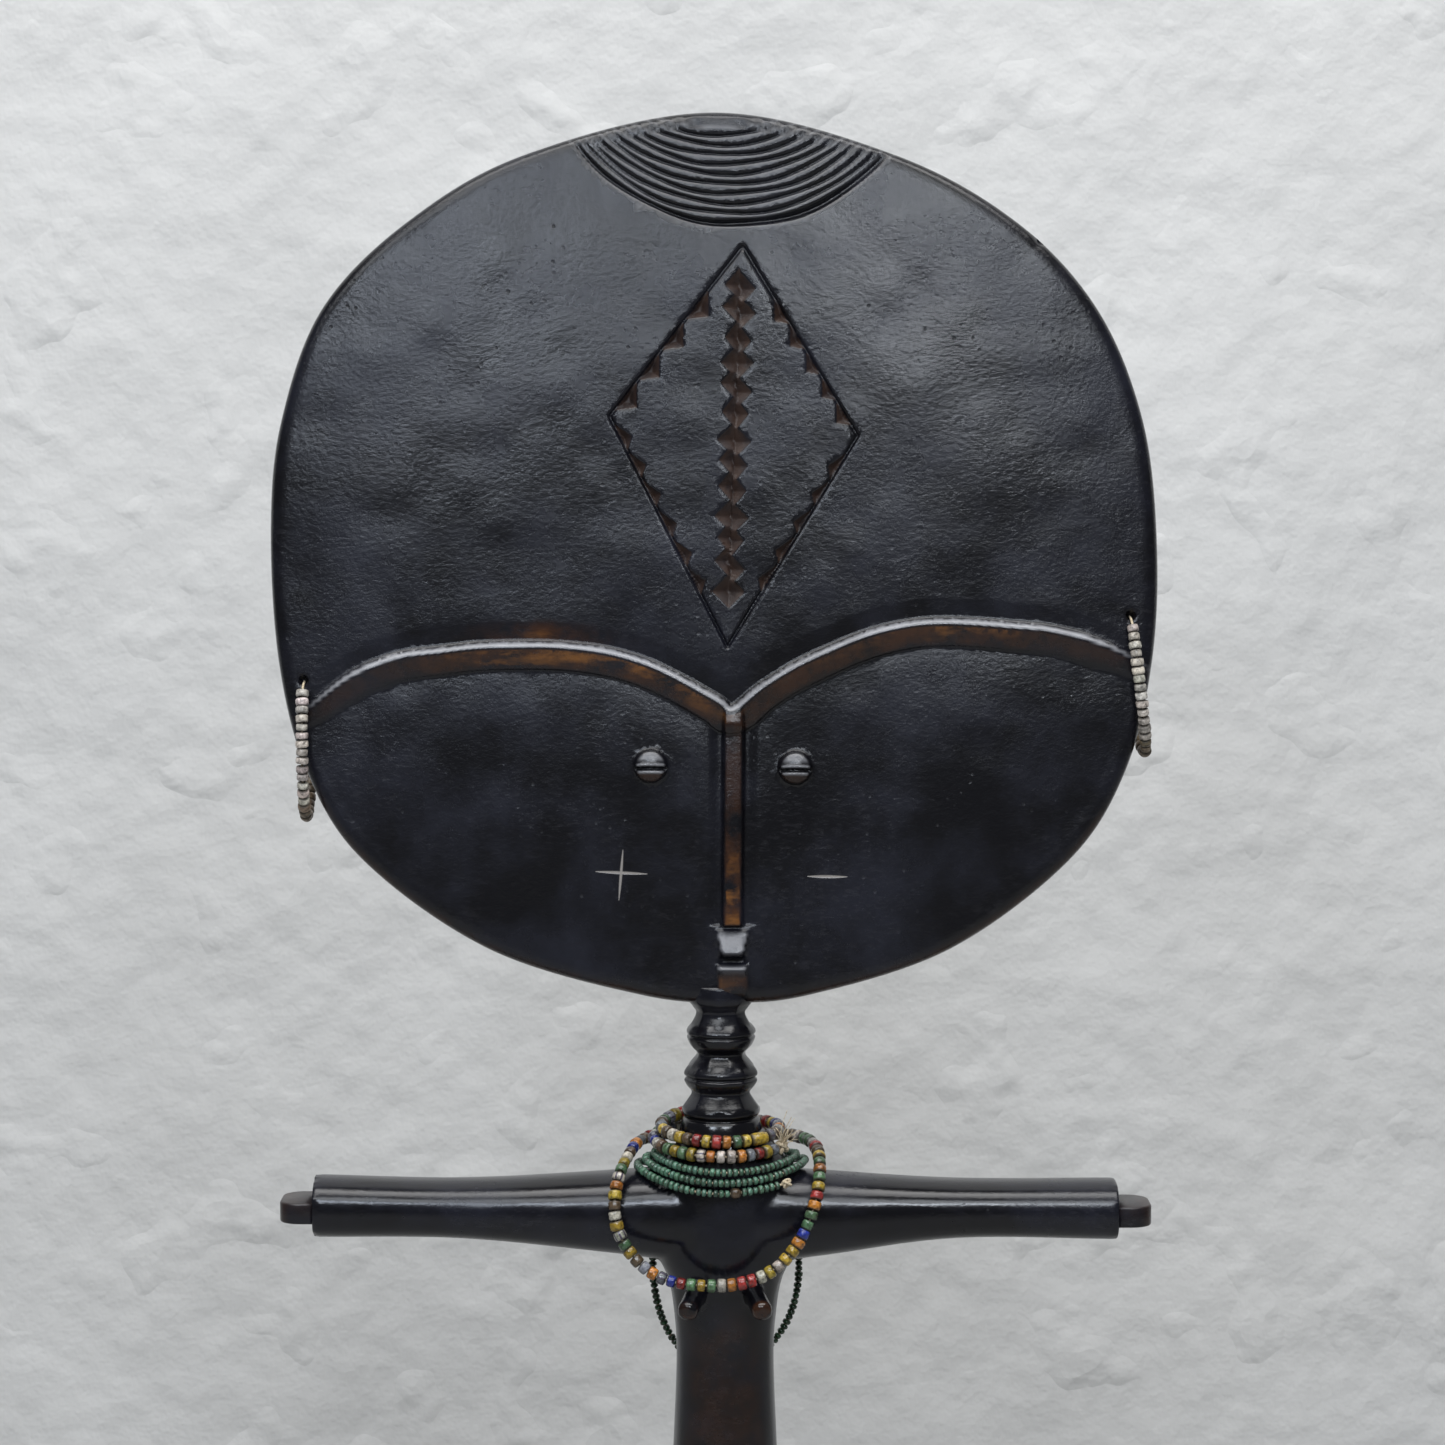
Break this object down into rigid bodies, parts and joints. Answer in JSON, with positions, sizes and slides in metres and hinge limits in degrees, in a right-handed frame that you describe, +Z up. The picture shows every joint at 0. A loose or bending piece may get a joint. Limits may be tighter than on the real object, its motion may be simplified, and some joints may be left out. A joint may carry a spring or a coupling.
{
  "type": "carved wooden doll figure",
  "caption": "Carved black wooden doll: flat round head, ringed neck, short straight arms, trunk on a round foot, with bead hoops at the rim of the head and looped bead strings round the neck.",
  "frame": {"origin": "Centre of the flat underside of the foot, on the axis of the trunk.", "axes": "+Z up the trunk; -Y is the way the face looks; +X is to the left hand of the figure, the right of someone facing it."},
  "size_m": [0.1509, 0.056, 0.3604],
  "materials": {
    "black_wood": "polished",
    "cotton_thread": "matte",
    "glass_blue": "polished",
    "glass_brown": "polished",
    "glass_green": "polished",
    "glass_grey": "polished",
    "glass_orange": "polished",
    "glass_red": "polished",
    "glass_white": "polished",
    "glass_yellow": "polished",
    "hoop_glass_brown": "polished",
    "hoop_glass_white": "polished",
    "seed_glass": "polished"
  },
  "bodies": {
    "figure": {"carved_figure": "black_wood"},
    "neck_strings": {"collar_blue_beads": "glass_blue", "collar_brown_beads": "glass_brown", "collar_green_beads": "glass_green", "collar_grey_beads": "glass_grey", "collar_knot": "cotton_thread", "collar_orange_beads": "glass_orange", "collar_red_beads": "glass_red", "collar_thread": "cotton_thread", "collar_white_beads": "glass_white", "collar_yellow_beads": "glass_yellow", "green_collar_green_beads": "seed_glass", "green_collar_knot": "cotton_thread", "green_collar_thread": "cotton_thread"},
    "front_loop": {"front_loop_blue_beads": "glass_blue", "front_loop_brown_beads": "glass_brown", "front_loop_green_beads": "glass_green", "front_loop_grey_beads": "glass_grey", "front_loop_knot": "cotton_thread", "front_loop_orange_beads": "glass_orange", "front_loop_red_beads": "glass_red", "front_loop_thread": "cotton_thread", "front_loop_white_beads": "glass_white", "front_loop_yellow_beads": "glass_yellow"},
    "back_loop": {"back_loop_green_beads": "seed_glass", "back_loop_knot": "cotton_thread", "back_loop_thread": "cotton_thread"},
    "left_hoop": {"left_hoop_brown_beads": "hoop_glass_brown", "left_hoop_knot": "cotton_thread", "left_hoop_thread": "cotton_thread", "left_hoop_white_beads": "hoop_glass_white"},
    "right_hoop": {"right_hoop_brown_beads": "hoop_glass_brown", "right_hoop_knot": "cotton_thread", "right_hoop_thread": "cotton_thread", "right_hoop_white_beads": "hoop_glass_white"}
  },
  "joints": [
    {"name": "neck_strings_lift", "type": "slide", "parent": "figure", "child": "neck_strings", "axis": [0, 0, 1], "range_m": [0, 0.01]},
    {"name": "front_loop_swing", "type": "hinge", "parent": "neck_strings", "child": "front_loop", "pos_m": [0, 0.0113, 0.184], "axis": [-1, 0, 0], "range_deg": [0, 40]},
    {"name": "back_loop_swing", "type": "hinge", "parent": "neck_strings", "child": "back_loop", "pos_m": [0, 0.0115, 0.1761], "axis": [1, 0, 0], "range_deg": [0, 45]},
    {"name": "left_hoop_swing", "type": "hinge", "parent": "figure", "child": "left_hoop", "pos_m": [-0.0715, 0.00383, 0.26377], "axis": [0, 0.9976, -0.0698], "range_deg": [-3, 60]},
    {"name": "right_hoop_swing", "type": "hinge", "parent": "figure", "child": "right_hoop", "pos_m": [0.0688, 0.0046, 0.27474], "axis": [0, -0.9976, 0.0698], "range_deg": [0, 60]}
  ]
}
